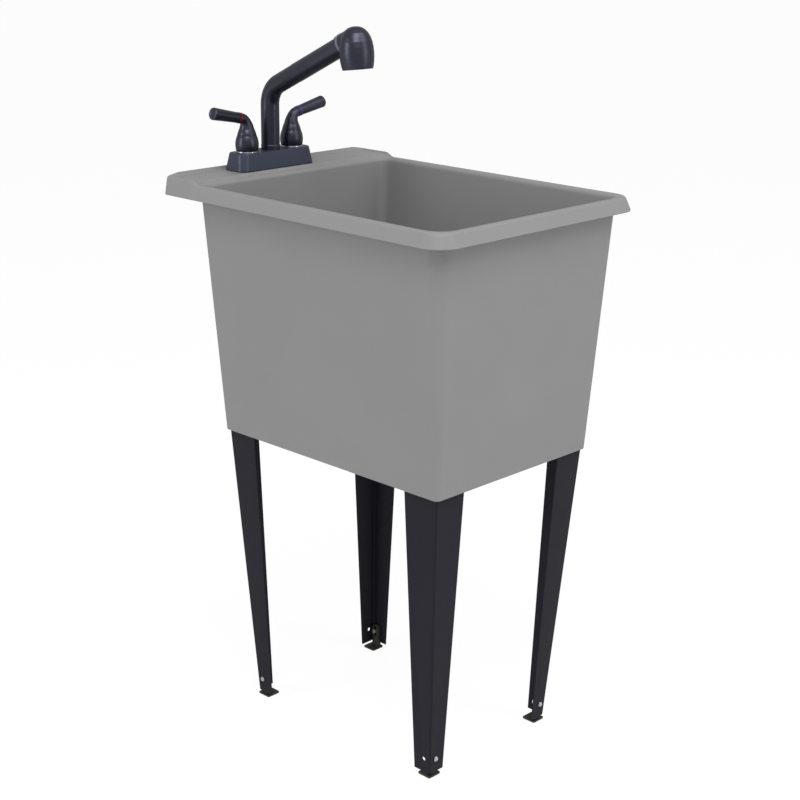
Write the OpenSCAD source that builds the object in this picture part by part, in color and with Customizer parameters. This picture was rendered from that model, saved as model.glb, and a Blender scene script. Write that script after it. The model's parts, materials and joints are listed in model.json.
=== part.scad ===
// Utility laundry sink: a moulded tub on four sheet-steel legs, with a two-handle pull-out faucet.
// The origin is on the floor, under the middle of the rim. X runs along the short side,
// +Y points to the faucet deck and Z is up. All lengths are in millimetres.

/* [Tub] */
// Width of the rim along X
rim_w = 457; // [420:1:520]
// Depth of the rim along Y
rim_d = 612; // [590:1:680]
// Height of the rim's crown above the floor
rim_top = 901.5; // [850:0.5:960]
// Height of the moulded tub, from its lower edge to the rim's crown
tub_h = 412; // [380:1:450]
// Height of the apron that hangs from the rim
apron_h = 22; // [19:1:28]
// How far the apron leans out over its height
apron_lean = 7; // [4:0.5:9]
// Reach of the apron past the wall at the sides
side_reach = 21.8; // [19:0.1:26]
// Reach of the apron past the wall at the front
front_reach = 20.3; // [18:0.1:26]
// Reach of the deck past the wall at the back
deck_reach = 70; // [68:0.5:80]
// How far a side wall draws in from the apron's edge down to the tub's lower edge
side_draft = 30.5; // [20:0.5:40]
// How far the front wall draws in
front_draft = 26.5; // [16:0.5:36]
// How far the back wall draws in
back_draft = 12.2; // [6:0.2:20]
// Thickness of the walls, rim and floor
wall = 4.5; // [4:0.1:5]
// Thickness of the skirt at the tub's lower edge
skirt_wall = 4; // [3.2:0.1:4.5]
// Depth of the skirt under the basin's floor, which hides the tops of the legs
skirt_h = 55; // [50:1:70]
// Height of the raised faucet deck above the rim's crown
deck_rise = 4.5; // [3:0.5:8]
// Height of the low ledge along the back of the deck
curb_rise = 6; // [2:0.5:7]
// Width of the slope from that ledge down to the flat deck
curb_w = 4.5; // [3:0.5:5]
// How far the apron leans out at the back
back_lean = 1; // [0.5:0.5:3]
// Radius of the lip between the rim and the basin's wall
lip_r = 7.5; // [5:0.5:9]
// Radius along the rim's outer edge
edge_r = 6; // [4:0.5:7]
// Radius between the basin's walls and its floor
floor_r = 22; // [14:1:30]
// How far the floor falls from the walls to the drain
floor_fall = 6; // [3:0.5:10]

/* [Tub corners] */
// Corner radius of the apron at the front
apron_front_r = 40; // [34:1:46]
// Corner radius of the apron at the back
apron_back_r = 14; // [12:1:20]
// Corner radius of the front corners of the wall under the rim
wall_front_r = 31; // [24:1:36]
// Corner radius of the back corners of the wall under the rim
wall_back_r = 8; // [7:0.5:12]
// Corner radius at the tub's lower edge
base_r = 8; // [6:0.5:10]
// Corner radius of the basin's back corners at the lip
basin_back_r = 16; // [12:1:24]

/* [Legs] */
// Distance from the leg's outer corner to the middle plane at the floor, along X
foot_x = 141; // [135:0.5:147]
// Place of the front legs' outer corner at the floor, from the rim's middle
foot_front = 220; // [214:0.5:228]
// Place of the back legs' outer corner at the floor, from the rim's middle
foot_back = 190; // [185:0.5:195]
// Thickness of the sheet steel
sheet = 1.5; // [1.2:0.1:2]
// Outer radius of the bend
bend_r = 3.5; // [2.5:0.5:6]
// Width of the front and back flanges at the floor
flange_w = 30; // [27:0.5:33]
// Width of the side flanges at the floor
flange_d = 32.5; // [29:0.5:35]
// Height of the leg's lower end above the floor
leg_lift = 8; // [7:0.5:10]
// Least gap between the leg and the skirt's inside
leg_gap = 0.8; // [0.6:0.1:1.2]
// Height of the screw holes above the floor
hole_h = 31.5; // [29:0.5:34]
// Radius of the screw holes
hole_r = 3.3; // [3.1:0.1:3.5]
// Distance of the screw holes from the leg's outer corner
hole_in = 13.5; // [12:0.5:15]

/* [Feet] */
// Side of the foot's square plate
foot_w = 25.5; // [23:0.5:28]
// Thickness of the plate
foot_t = 3; // [2.5:0.25:4]
// Width of the foot's post along its flange
post_w = 14; // [12:0.5:15]
// Thickness of the post
post_t = 8; // [6:0.5:9]
// Height of the post's top above the floor
post_h = 42; // [40:0.5:46]
// Radius of the foot screw's thread
screw_r = 2.5; // [2.2:0.05:2.6]

/* [Drain] */
// Radius of the drain's flange
drain_flange_r = 38; // [34:0.5:42]
// Radius of the threaded barrel
drain_barrel_r = 22; // [21:0.25:24]
// Outer radius of the tail, for 1-1/2 in tubing
drain_tail_r = 19.05; // [18:0.05:20]
// Radius of the waterway
drain_bore_r = 16.5; // [14:0.25:17]
// Length of the tail under the barrel
drain_tail_l = 26; // [20:1:40]

/* [Faucet] */
// Place of the faucet's middle along X, from the middle of the rim
faucet_x = -26.7; // [-40:0.1:40]
// Distance of the faucet's middle from the rim's back edge
faucet_in = 34; // [33:0.5:35]
// Distance between the two inlet shanks
shank_gap = 101.6; // [100:0.1:104]
// Distance between the two handle axes
handle_gap = 98.4; // [97.5:0.1:102]
// Length of the faucet's base cover
cover_l = 162; // [160:1:168]
// Depth of the base cover
cover_d = 52; // [50:0.5:53]
// Height of the base cover with its gasket
cover_h = 29; // [27:0.5:34]
// Draft of the cover's long sides
cover_draft = 4.5; // [2:0.5:5]
// Draft of the cover's ends
end_draft = 5; // [4:0.5:10]
// Widest radius of a handle's bell
bell_r = 19.4; // [18.4:0.1:20.2]
// Height of the seam between the bell and the handle above the cover
bell_h = 28; // [25:0.5:31]
// Radius of the bell at that seam
bell_top_r = 15.8; // [14.8:0.1:16.6]
// Height of the lever's root above the cover
lever_h = 56.6; // [53:0.2:60]
// Length of the lever from its root
lever_l = 60; // [50:1:75]
// Tilt of the lever above level
lever_tilt = 12; // [0:0.5:14]
// Radius of the lever at its root
lever_r = 8.4; // [7.8:0.1:9]
// Radius of the lever at its tip
lever_tip_r = 10.2; // [9.2:0.1:11]

/* [Spout] */
// Outer radius of the spout's tube
spout_r = 15.4; // [14.9:0.1:15.8]
// Thickness of the spout's wall
spout_wall = 2.4; // [2:0.1:2.6]
// How far the spout stands ahead of the handles' line
spout_fwd = 2.5; // [0:0.5:4]
// Height above the cover at which the wand's axis meets the tube's axis
spout_h = 99; // [92:0.2:120]
// Angle of the wand above level
wand_tilt = 25.5; // [15:0.5:35]
// Radius of the bend's centre line
spout_bend = 40; // [32:1:44]
// Distance along the wand's axis from the tube's axis to the joint with the wand
dock_at = 74; // [70:1:84]
// Radius of the wand at the joint with the tube
wand_r = 15.8; // [15.5:0.1:16.6]
// Distance along the wand's axis from the tube's axis to the head's axis
head_at = 225; // [190:1:250]
// Tilt of the head's own axis from plumb
head_tilt = 5.8; // [0:0.2:12]
// Tilt of the nozzle face from level
face_tilt = 6.8; // [2:0.2:12]
// Largest radius of the head
head_r = 27.4; // [26.6:0.1:28.5]
// Radius of the head at the nozzle
nozzle_r = 24.2; // [23.6:0.1:25]
// Height of the head's crown above the wand's axis
crown_h = 17.2; // [16.4:0.1:20]
// Distance of the head's widest place under the wand's axis
head_low = 23.9; // [20:0.1:26]
// Distance of the nozzle face under the wand's axis
face_drop = 48.7; // [44:0.1:54]

/* [Hidden] */
$fn = 64;

tub_color = [0.56, 0.56, 0.56];
leg_color = [0.13, 0.13, 0.16];
foot_color = [0.10, 0.10, 0.08];
black_color = [0.12, 0.12, 0.15];
rubber_color = [0.08, 0.08, 0.08];
brass_color = [0.72, 0.58, 0.28];
zinc_color = [0.68, 0.68, 0.70];
chrome_color = [0.85, 0.85, 0.87];
nylon_color = [0.90, 0.90, 0.86];
hot_color = [0.60, 0.08, 0.10];
cold_color = [0.22, 0.20, 0.55];
ring_color = [0.62, 0.62, 0.66];

// one overrun serves every cut
cut = 2;
// clearance between pieces that move past each other, and between pieces that only lie close
slip = 0.3;
// radial clearance of a running fit and of a thread
run_fit = 0.05;

// levels of the tub
base_z = rim_top - tub_h;
apron_z = rim_top - apron_h;
floor_z = base_z + skirt_h;
drain_floor_z = floor_z - floor_fall;
deck_z = rim_top + deck_rise;

// the wall's outer face at the apron's edge and at the tub's lower edge
wall_x = rim_w / 2 - side_reach;
wall_f = -rim_d / 2 + front_reach;
wall_b = rim_d / 2 - deck_reach;
base_x = wall_x - side_draft;
base_f = wall_f + front_draft;
base_b = wall_b - back_draft;

// shares of the tub's outline
corner_steps = 8;
ramp_steps = 6;
ramp_gap_share = 0.01;
lip_steps = 3;
edge_steps = 3;
fillet_steps = 4;
// part of a quarter turn at which the rim's edge runs on into the apron
edge_turn = 72;
// width of the slope from the rim up to the deck, at the sides and behind the lip
ramp_w = 20;
lip_ramp_w = 6;
// flat part around the drain, and depth of the floor's boss there
drain_pad_r = 48;
boss_t = 10;
pilot_r = 14;
under_fillet = 3;

function lerp(a, b, t) = a + (b - a) * t;
function smooth(t) = let (c = min(max(t, 0), 1)) c * c * (3 - 2 * c);
function level_share(z) = (z - base_z) / (apron_z - base_z);

// the outer face of the wall at a height: half width, front, back, front radius and back radius
function wall_at(z) = let (t = level_share(z)) [
    lerp(base_x, wall_x, t), lerp(base_f, wall_f, t), lerp(base_b, wall_b, t),
    lerp(base_r, wall_front_r, t), lerp(base_r, wall_back_r, t)];
// the same outline moved in by d, with back corners of radius back_r where it is given
function inset(o, d) = [o[0] - d, o[1] + d, o[2] - d, max(o[3] - d, base_r / 2), max(o[4] - d, base_r / 2)];
function basin_at(z) = let (o = inset(wall_at(z), wall), t = level_share(z))
    [o[0], o[1], o[2], max(o[3], base_r), lerp(base_r, basin_back_r, t)];
// the apron's lower outline and the outline of the rim's crest
apron_line = [rim_w / 2, -rim_d / 2, rim_d / 2, apron_front_r, apron_back_r];
crest_line = [rim_w / 2 - apron_lean, apron_lean - rim_d / 2, rim_d / 2 - back_lean, apron_front_r - apron_lean,
    apron_back_r - apron_lean];
// the ledge's rounding is tighter than the rim's
back_edge_share = 0.42;
function edged(d) = [crest_line[0] - d, crest_line[1] + d, crest_line[2] - d * back_edge_share,
    max(crest_line[3] - d, base_r / 2), max(crest_line[4] - d, base_r / 2)];

// a ring of the tub: outline, height, share of the deck's rise and share of the back ledge
function ring(o, z, lift = 0, curb = 0) = [o, z, lift, curb];
ramp_front = wall_b - ramp_w * 3 / 4;
function rise(y) = smooth((y - ramp_front) / ramp_w);
ledge_end = rim_d / 2 - back_lean - edge_r * back_edge_share;
side_ledge_share = 0.4;
ledge_sink_from = 36;
ledge_sink_w = 28;
// how far the back ledge has sunk to the side ledges' height, near its two ends
function sunk(x) = smooth((abs(x) - rim_w / 2 + ledge_sink_from) / ledge_sink_w);
function ledge(x, y) = max(smooth((y - ledge_end + curb_w) / curb_w) * lerp(1, side_ledge_share, sunk(x)),
    side_ledge_share * rise(y));

function arc_run(cx, cy, r, a0) = [for (i = [0:corner_steps]) let (a = a0 + 90 * i / corner_steps)
    [cx + r * cos(a), cy + r * sin(a)]];
// points on a long side, gathered where the rim climbs to the deck
function side_y(o, i) = let (near = o[1] + o[3], far = o[2] - o[4])
    min(ramp_front + ramp_w * (i - 1) / (ramp_steps - 1),
        far - (ramp_steps + 1 - i) * (far - near) * ramp_gap_share);
// points on the back line where the ledge sinks, as shares of its half length from its ends
back_shares = [0.04, 0.08, 0.12];
function back_line(x, b) = concat([for (q = back_shares) [x * (1 - q), b]],
    [for (i = [len(back_shares) - 1:-1:0]) [x * (back_shares[i] - 1), b]]);
function outline(o) = let (x = o[0], f = o[1], b = o[2], rf = o[3], rb = o[4]) concat(
    arc_run(x - rb, b - rb, rb, 0), back_line(x - rb, b), arc_run(rb - x, b - rb, rb, 90),
    [for (i = [ramp_steps:-1:1]) [-x, side_y(o, i)]],
    arc_run(rf - x, f + rf, rf, 180), arc_run(x - rf, f + rf, rf, 270),
    [for (i = [1:ramp_steps]) [x, side_y(o, i)]]);
function ring_points(g) = [for (q = outline(g[0]))
    [q[0], q[1], g[1] + g[2] * deck_rise * rise(q[1]) + g[3] * curb_rise * ledge(q[0], q[1])]];

// a closed skin over a list of rings of equal length, joined end to end or capped. With band true the second half of
// a ring runs back along the first half, and a cap is the strip between the two
module loft(rings, closed = false, band = false) {
    n = len(rings[0]);
    m = len(rings);
    last = closed ? m - 1 : m - 2;
    sides = [for (k = [0:last]) for (j = [0:n - 1]) let (
        a = k * n + j, b = k * n + (j + 1) % n, c = ((k + 1) % m) * n + j, d = ((k + 1) % m) * n + (j + 1) % n)
        each [[a, c, b], [b, c, d]]];
    far = (m - 1) * n;
    caps = closed ? [] : !band ? [[for (j = [0:n - 1]) j], [for (j = [n - 1:-1:0]) far + j]] :
        [for (j = [0:n / 2 - 2]) let (p = n - 1 - j) each [[j, j + 1, p], [j + 1, p - 1, p],
            [far + p, far + j + 1, far + j], [far + p, far + p - 1, far + j + 1]]];
    polyhedron([for (r = rings) each r], concat(sides, caps), convexity = 8);
}

lip_z = rim_top - lip_r;
lip_line = basin_at(lip_z);
lip_crown = inset(lip_line, -lip_r);
crest_in = edged(edge_r);
// the crest's outline drawn back to the lip, so that the deck lies between the two
function deck_line(t, back) = [lerp(lip_crown[0], crest_in[0], t), lerp(lip_crown[1], crest_in[1], t), back,
    lerp(lip_crown[3], crest_in[3], t), lerp(lip_crown[4], crest_in[4], t)];
under_z = rim_top - wall;
drain_y = (base_f + base_b) / 2;
under_wall = wall_at(under_z - under_fillet);
pad = [drain_pad_r, drain_y - drain_pad_r, drain_y + drain_pad_r, drain_pad_r * 3 / 4, drain_pad_r * 3 / 4];
pilot = [pilot_r, drain_y - pilot_r, drain_y + pilot_r, pilot_r / 2, pilot_r / 2];
skirt_top_z = floor_z - wall - floor_fall / 2;
floor_line = basin_at(floor_z);

tub_rings = concat(
    // the skirt and the outer wall
    [ring(wall_at(base_z), base_z), ring(under_wall, under_z - under_fillet)],
    // under the rim and the deck
    [ring(inset(under_wall, -under_fillet), under_z),
     ring(deck_line(2 / 3, wall_b + lip_ramp_w + wall), under_z, 1),
     ring(inset(crest_line, wall), under_z, 1)],
    // the apron and its rounded top edge
    [ring(inset(apron_line, wall), apron_z), ring(apron_line, apron_z)],
    [for (i = [edge_steps:-1:1]) let (a = edge_turn * i / edge_steps)
        ring(edged(edge_r * (1 - sin(a))), rim_top - edge_r * (1 - cos(a)), 1, 1)],
    // the ledge and the deck
    [ring(crest_in, rim_top, 1, 1),
     ring(deck_line(7 / 8, crest_in[2] - curb_w / 2), rim_top, 1, 1 / 2),
     ring(deck_line(3 / 4, crest_in[2] - curb_w), rim_top, 1),
     ring(deck_line(1 / 2, lip_crown[2] + lip_ramp_w), rim_top, 1),
     ring(deck_line(1 / 4, lip_crown[2] + lip_ramp_w / 2), rim_top, 1 / 2),
     ring(lip_crown, rim_top)],
    // the lip, the basin's wall, the floor and the way to the drain
    [for (i = [lip_steps - 1:-1:0]) let (a = 90 * i / lip_steps)
        ring(inset(lip_line, -lip_r * (1 - cos(a))), lip_z + lip_r * sin(a))],
    [for (i = [0:fillet_steps]) let (a = 90 * i / fillet_steps, z = floor_z + floor_r * (1 - sin(a)))
        ring(inset(basin_at(z), floor_r * (1 - cos(a))), z)],
    [ring(pad, drain_floor_z), ring(pilot, drain_floor_z)],
    // the underside
    [ring(pilot, drain_floor_z - boss_t), ring(pad, drain_floor_z - boss_t),
     ring(inset(wall_at(skirt_top_z), skirt_wall + floor_r), skirt_top_z),
     ring(inset(wall_at(skirt_top_z), skirt_wall), skirt_top_z),
     ring(inset(wall_at(base_z), skirt_wall), base_z)]);

// places of the faucet
faucet_y = rim_d / 2 - faucet_in;
cover_z = deck_z + cover_h;
handle_in = handle_gap / 2;
shank_in = shank_gap / 2;
spout_y = faucet_y - spout_fwd;
shank_r = 10.4;
shank_hole_r = 13;
hose_hole_r = 16;
shank_drop = 48;

// legs: side is -1 or 1 along X, back is 0 or 1
socket_rib = 3;
// how fast a rib's lower edge rises away from the corner
rib_lean_share = 0.2;
leg_top_z = skirt_top_z - slip;
function leg_foot(back) = [foot_x, back ? foot_back : foot_front];
// room for the leg's outer corner inside the skirt at a height
function skirt_room(back, z) = let (o = wall_at(z)) [o[0], back ? o[2] : -o[1]] - [1, 1] * (skirt_wall + leg_gap);
// the outer corner at the tub's lower edge, on a straight line that clears the skirt up to the leg's top
function leg_head(back) = let (f = leg_foot(back), low = skirt_room(back, base_z), top = skirt_room(back, leg_top_z))
    [for (i = [0, 1]) min(low[i], f[i] + (top[i] - f[i]) * base_z / leg_top_z)];
function leg_slope(back) = (leg_head(back) - leg_foot(back)) / base_z;
// outer corner of a leg at a height, as distances from the middle planes
function leg_corner(back, z) = leg_foot(back) + leg_slope(back) * z;
// free edges of the two flanges, which are plumb
function leg_edge(back) = leg_foot(back) - [flange_w, flange_d];
function leg_side_x(side) = side;
function leg_side_y(back) = back ? 1 : -1;
// a place given by how far it lies in from the leg's outer corner along X and Y
function leg_place(side, back, u, v, z) = let (c = leg_corner(back, z))
    [leg_side_x(side) * (c[0] - u), leg_side_y(back) * (c[1] - v), z];
function turned(side, back) = leg_side_x(side) * leg_side_y(back) > 0;
function ordered(list, flip) = flip ? [for (i = [len(list) - 1:-1:0]) list[i]] : list;

bend_steps = 5;
// the angle's section between two depths under its outer face, at a height that may rise away from the corner
function angle_ring(side, back, t0, t1, z, trim, lean = 0) = let (c = leg_corner(back, z), e = leg_edge(back),
    u1 = c[0] - e[0] - trim, v1 = c[1] - e[1] - trim, r0 = max(bend_r - t0, sheet / 2), r1 = max(bend_r - t1, sheet / 4),
    flat = concat([[u1, t0]],
        [for (i = [0:bend_steps]) let (a = 90 * i / bend_steps) [t0 + r0 * (1 - sin(a)), t0 + r0 * (1 - cos(a))]],
        [[t0, v1], [t1, v1]],
        [for (i = [bend_steps:-1:0]) let (a = 90 * i / bend_steps) [t1 + r1 * (1 - sin(a)), t1 + r1 * (1 - cos(a))]],
        [[u1, t1]]))
    ordered([for (q = flat) leg_place(side, back, q[0], q[1], z + lean * (q[0] + q[1]))], turned(side, back));

module angle_bar(side, back, t0, t1, z0, z1, trim = 0) {
    loft([angle_ring(side, back, t0, t1, z0, trim), angle_ring(side, back, t0, t1, z1, trim)], band = true);
}

// turns a shape that points up so that it points in from a flange: along Y, or along X when across is true
module from_flange(side, back, u, v, z, across) {
    translate(leg_place(side, back, u, v, z))
        rotate(across ? [0, -90 * leg_side_x(side), 0] : [90 * leg_side_y(back), 0, 0]) children();
}

module leg_hole(side, back, across) {
    from_flange(side, back, across ? 0 : hole_in, across ? hole_in : 0, hole_h, across)
        translate([0, 0, -cut]) cylinder(h = sheet + 2 * cut, r = hole_r);
}

module leg(side, back) {
    color(leg_color) difference() {
        angle_bar(side, back, 0, sheet, leg_lift, leg_top_z);
        leg_hole(side, back, false);
        leg_hole(side, back, true);
    }
}

// the rib that holds a leg against the skirt's inside
module leg_socket(side, back) {
    in = sheet + slip;
    out = in + socket_rib;
    loft([angle_ring(side, back, in, out, base_z + socket_rib, sheet, rib_lean_share),
        angle_ring(side, back, in, out, skirt_top_z + wall / 2, sheet)], band = true);
}

module tub() {
    color(tub_color) difference() {
        union() {
            loft([for (g = tub_rings) ring_points(g)], true);
            for (side = [-1, 1]) for (back = [0, 1]) leg_socket(side, back);
        }
        translate([0, drain_y, drain_floor_z - boss_t - cut]) cylinder(h = boss_t + 2 * cut, r = drain_hole_r);
        translate([0, drain_y, drain_seat_z]) cylinder(h = drain_floor_z, r = drain_flange_r + slip);
        for (s = [-1, 1]) translate([faucet_x + s * shank_in, faucet_y, under_z - cut])
            cylinder(h = deck_rise + wall + 2 * cut, r = shank_hole_r);
        translate([faucet_x, spout_y, under_z - cut]) cylinder(h = deck_rise + wall + 2 * cut, r = hose_hole_r);
    }
}

// feet
foot_out = 1;
foot_round = 2;
slot_r = screw_r + slip;
slot_top = 6;
slot_low = 7;
post_bevel = 3;
screw_head_r = 4.3;
screw_head_h = 2.4;
// the heads stand off by as much as the leaning flange rises under them
screw_head_off = 0.32;
nut_flats = 8;
nut_t = 4;
screw_tail = 1;
function post_ring(side, back, z, grow) = let (in = sheet + slip, u0 = hole_in - post_w / 2, u1 = hole_in + post_w / 2)
    ordered([for (q = back ?
        [[in, u0 + grow], [in, u1 - grow], [in + post_t - grow, u1 - grow], [in + post_t - grow, u0 + grow]] :
        [[u0 + grow, in + post_t - grow], [u1 - grow, in + post_t - grow], [u1 - grow, in], [u0 + grow, in]])
        leg_place(side, back, q[0], q[1], z)], turned(side, back));

module foot(side, back) {
    plate = foot_w - 2 * foot_round;
    color(foot_color) difference() {
        union() {
            hull() for (i = [0, 1]) for (j = [0, 1])
                translate(leg_place(side, back, foot_round - foot_out + plate * i, foot_round - foot_out + plate * j, 0))
                    cylinder(h = foot_t, r = foot_round, $fn = 16);
            loft([post_ring(side, back, foot_t / 2, 0), post_ring(side, back, post_h - post_bevel, 0),
                post_ring(side, back, post_h, post_bevel)]);
        }
        hull() for (dz = [-slot_low, slot_top])
            from_flange(side, back, back ? 0 : hole_in, back ? hole_in : 0, hole_h + dz, back)
                cylinder(h = post_t + sheet + 2 * cut, r = slot_r, $fn = 24);
    }
}

module foot_screws() {
    reach = sheet + slip + post_t + slip + nut_t + screw_tail;
    color(zinc_color) for (side = [-1, 1]) for (back = [0, 1])
        from_flange(side, back, back ? 0 : hole_in, back ? hole_in : 0, hole_h, back) {
            translate([0, 0, -2 * screw_head_off]) cylinder(h = reach + 2 * screw_head_off, r = screw_r);
            translate([0, 0, -screw_head_h - screw_head_off]) rotate_extrude() polygon([[0, 0],
                [screw_head_r * 2 / 3, 0], [screw_head_r, screw_head_h * 2 / 3], [screw_head_r, screw_head_h], [0, screw_head_h]]);
        }
}

module foot_nuts() {
    at = sheet + slip + post_t + slip;
    color(zinc_color) for (side = [-1, 1]) for (back = [0, 1])
        from_flange(side, back, back ? 0 : hole_in, back ? hole_in : 0, hole_h, back)
            translate([0, 0, at]) difference() {
                cylinder(h = nut_t, r = nut_flats / sqrt(3), $fn = 6);
                translate([0, 0, -cut]) cylinder(h = nut_t + 2 * cut, r = screw_r + run_fit);
            }
}

// drain
drain_hole_r = drain_barrel_r + slip;
drain_flange_t = 3;
drain_seat_z = drain_floor_z - drain_flange_t;
drain_barrel_l = 42;
drain_under_z = drain_floor_z - boss_t;
drain_gasket_t = 3;
drain_washer_t = 1;
drain_seal_r = 33;
locknut_h = 12;
locknut_r = 31;
locknut_lug = 3;
strainer_bar = 3;
strainer_depth = 20;
stopper_skirt_t = 3.5;
stopper_depth = 13;
stopper_wide_r = 22;
knob_r = 6;
knob_h = 13;
seat_gap = 0.1;

function flange_z(r) = lerp(drain_floor_z - drain_flange_t / 3, drain_floor_z - slip,
    (r - drain_bore_r) / (drain_flange_r - drain_flange_t - drain_bore_r));

module drain_body() {
    barrel_z = drain_seat_z - drain_barrel_l;
    color(chrome_color) translate([0, drain_y, 0]) {
        rotate_extrude() polygon([
            [drain_bore_r, drain_floor_z - drain_flange_t / 3], [drain_flange_r - drain_flange_t, drain_floor_z - slip],
            [drain_flange_r, drain_seat_z + drain_flange_t / 3], [drain_flange_r, drain_seat_z],
            [drain_barrel_r, drain_seat_z], [drain_barrel_r, barrel_z], [drain_tail_r, barrel_z],
            [drain_tail_r, barrel_z - drain_tail_l], [drain_bore_r, barrel_z - drain_tail_l]]);
        for (a = [0, 90]) rotate([0, 0, a]) translate([0, 0, drain_seat_z - strainer_depth])
            cube([2 * drain_bore_r + strainer_bar, strainer_bar, strainer_bar], center = true);
    }
}

module drain_ring(z, t, outer) {
    translate([0, drain_y, z]) difference() {
        cylinder(h = t, r = outer);
        translate([0, 0, -cut]) cylinder(h = t + 2 * cut, r = drain_barrel_r + run_fit);
    }
}

module drain_gasket() {
    color(rubber_color) drain_ring(drain_under_z - drain_gasket_t, drain_gasket_t, drain_seal_r);
}

module drain_washer() {
    color(nylon_color) drain_ring(drain_under_z - drain_gasket_t - drain_washer_t, drain_washer_t, drain_seal_r);
}

module drain_locknut() {
    z = drain_under_z - drain_gasket_t - drain_washer_t - locknut_h;
    color(zinc_color) {
        drain_ring(z, locknut_h, locknut_r);
        for (i = [0:7]) translate([0, drain_y, z]) rotate([0, 0, 45 * i])
            translate([locknut_r - locknut_lug / 3, -locknut_lug, 0])
                cube([locknut_lug * 4 / 3, 2 * locknut_lug, locknut_h]);
    }
}

module drain_stopper() {
    top = drain_floor_z;
    plug_r = drain_bore_r - slip;
    color(rubber_color) translate([0, drain_y, 0]) rotate_extrude() polygon([
        [0, top - stopper_depth], [plug_r * 4 / 5, top - stopper_depth], [plug_r, top - stopper_depth * 2 / 3],
        [plug_r, flange_z(plug_r) + seat_gap], [stopper_wide_r, flange_z(stopper_wide_r) + seat_gap],
        [stopper_wide_r, top + stopper_skirt_t / 2],
        [stopper_wide_r - stopper_skirt_t, top + stopper_skirt_t], [knob_r * 2 / 3, top + stopper_skirt_t],
        [knob_r / 2, top + knob_h / 2], [knob_r, top + knob_h * 4 / 5], [knob_r * 3 / 4, top + knob_h], [0, top + knob_h]]);
}

// faucet base
gasket_t = 1.5;
cover_wall = 3;
cover_r = 13;
cover_edge = 1.5;
cover_steps = 6;
function cover_ring(d, z) = let (k = (z - deck_z) / cover_h, x = cover_l / 2 - d - end_draft * k,
    y = cover_d / 2 - d - cover_draft * k, r = max(cover_r - d, cover_r / 4))
    [for (q = [0:3]) let (sx = [1, -1, -1, 1][q], sy = [1, 1, -1, -1][q]) for (i = [0:cover_steps])
        let (a = 90 * q + 90 * i / cover_steps)
        [faucet_x + sx * (x - r) + r * cos(a), faucet_y + sy * (y - r) + r * sin(a), z]];
// the loft's rings run from the top down
module cover_body(d, z0, z1, round_top) {
    loft(concat([cover_ring(d, z0)],
        round_top ? [cover_ring(d, z1 - cover_edge), cover_ring(d + cover_edge / 4, z1 - cover_edge / 4),
            cover_ring(d + cover_edge, z1)] : [cover_ring(d, z1)]));
}

module faucet_gasket() {
    color(rubber_color) difference() {
        cover_body(cover_edge / 2, deck_z, deck_z + gasket_t, false);
        for (s = [-1, 1]) translate([faucet_x + s * shank_in, faucet_y, deck_z - cut])
            cylinder(h = gasket_t + 2 * cut, r = shank_hole_r);
        translate([faucet_x, spout_y, deck_z - cut]) cylinder(h = gasket_t + 2 * cut, r = hose_hole_r);
    }
}

module faucet_cover() {
    color(black_color) difference() {
        cover_body(0, deck_z + gasket_t, cover_z, true);
        cover_body(cover_wall, deck_z - cut, cover_z - cover_wall, false);
        for (s = [-1, 1]) translate([faucet_x + s * handle_in, faucet_y, cover_z - cover_wall - cut])
            cylinder(h = cover_wall + 2 * cut, r = valve_r + slip);
        translate([faucet_x, spout_y, cover_z - cover_wall - cut]) cylinder(h = cover_wall + 2 * cut, r = valve_r + slip);
    }
}

// valves: heights are above the cover's top
valve_r = 12.5;
valve_top = 6;
valve_seat_r = 18.5;
shank_flange_t = 3;
shank_bore_r = 6.5;
// the supply nut's thread, the relief above it and the relief's radius
supply_thread_l = 28;
relief_l = 1.3;
relief_r = 9.9;
cross_r = 7;
post_r = 11;
spout_post_h = 24;
hose_bore_r = 8;
stem_r = 5;
stem_depth = 20;
spline_r = 3.6;
spline_top = 42;
bonnet_r = 14;
bonnet_lap = 2;
bonnet_h = 8;
bore_floor = gasket_t + shank_flange_t;

module faucet_waterway() {
    low = deck_z + gasket_t;
    color(brass_color) difference() {
        union() {
            for (s = [-1, 1]) {
                translate([faucet_x + s * handle_in, faucet_y, low]) cylinder(h = cover_z + valve_top - low, r = valve_r);
                translate([faucet_x + s * shank_in, faucet_y, low]) cylinder(h = shank_flange_t, r = valve_seat_r);
                translate([faucet_x + s * shank_in, faucet_y, deck_z - shank_drop]) {
                    cylinder(h = supply_thread_l, r = shank_r);
                    translate([0, 0, supply_thread_l / 2]) cylinder(h = supply_thread_l, r = relief_r);
                    translate([0, 0, supply_thread_l + relief_l])
                        cylinder(h = shank_drop + bore_floor - supply_thread_l - relief_l, r = shank_r);
                }
            }
            translate([faucet_x, spout_y, low]) cylinder(h = cover_z - low, r = valve_r);
            translate([faucet_x, spout_y, cover_z - valve_top]) cylinder(h = spout_post_h + valve_top, r = post_r);
            translate([faucet_x - handle_in, faucet_y, low + cross_r + shank_flange_t / 2]) rotate([0, 90, 0])
                cylinder(h = handle_gap, r = cross_r);
        }
        for (s = [-1, 1]) {
            translate([faucet_x + s * shank_in, faucet_y, deck_z - shank_drop - cut])
                cylinder(h = shank_drop + 2 * cut, r = shank_bore_r);
            translate([faucet_x + s * handle_in, faucet_y, cover_z - stem_depth - cut])
                cylinder(h = stem_depth + valve_top + 2 * cut, r = stem_r + run_fit);
        }
        translate([faucet_x, spout_y, low - cut]) cylinder(h = cover_z + spout_post_h - low + 2 * cut, r = hose_bore_r);
    }
}

module mounting_washers() {
    color(rubber_color) for (s = [-1, 1]) translate([faucet_x + s * shank_in, faucet_y, deck_z - wall - washer_t])
        difference() {
            cylinder(h = washer_t, r = washer_r);
            translate([0, 0, -cut]) cylinder(h = washer_t + 2 * cut, r = shank_r + run_fit);
        }
}

washer_t = 2;
washer_r = 19;
wing_nut_r = 16;
wing_nut_h = 12;
wing_reach = 23;
wing_t = 4;

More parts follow.
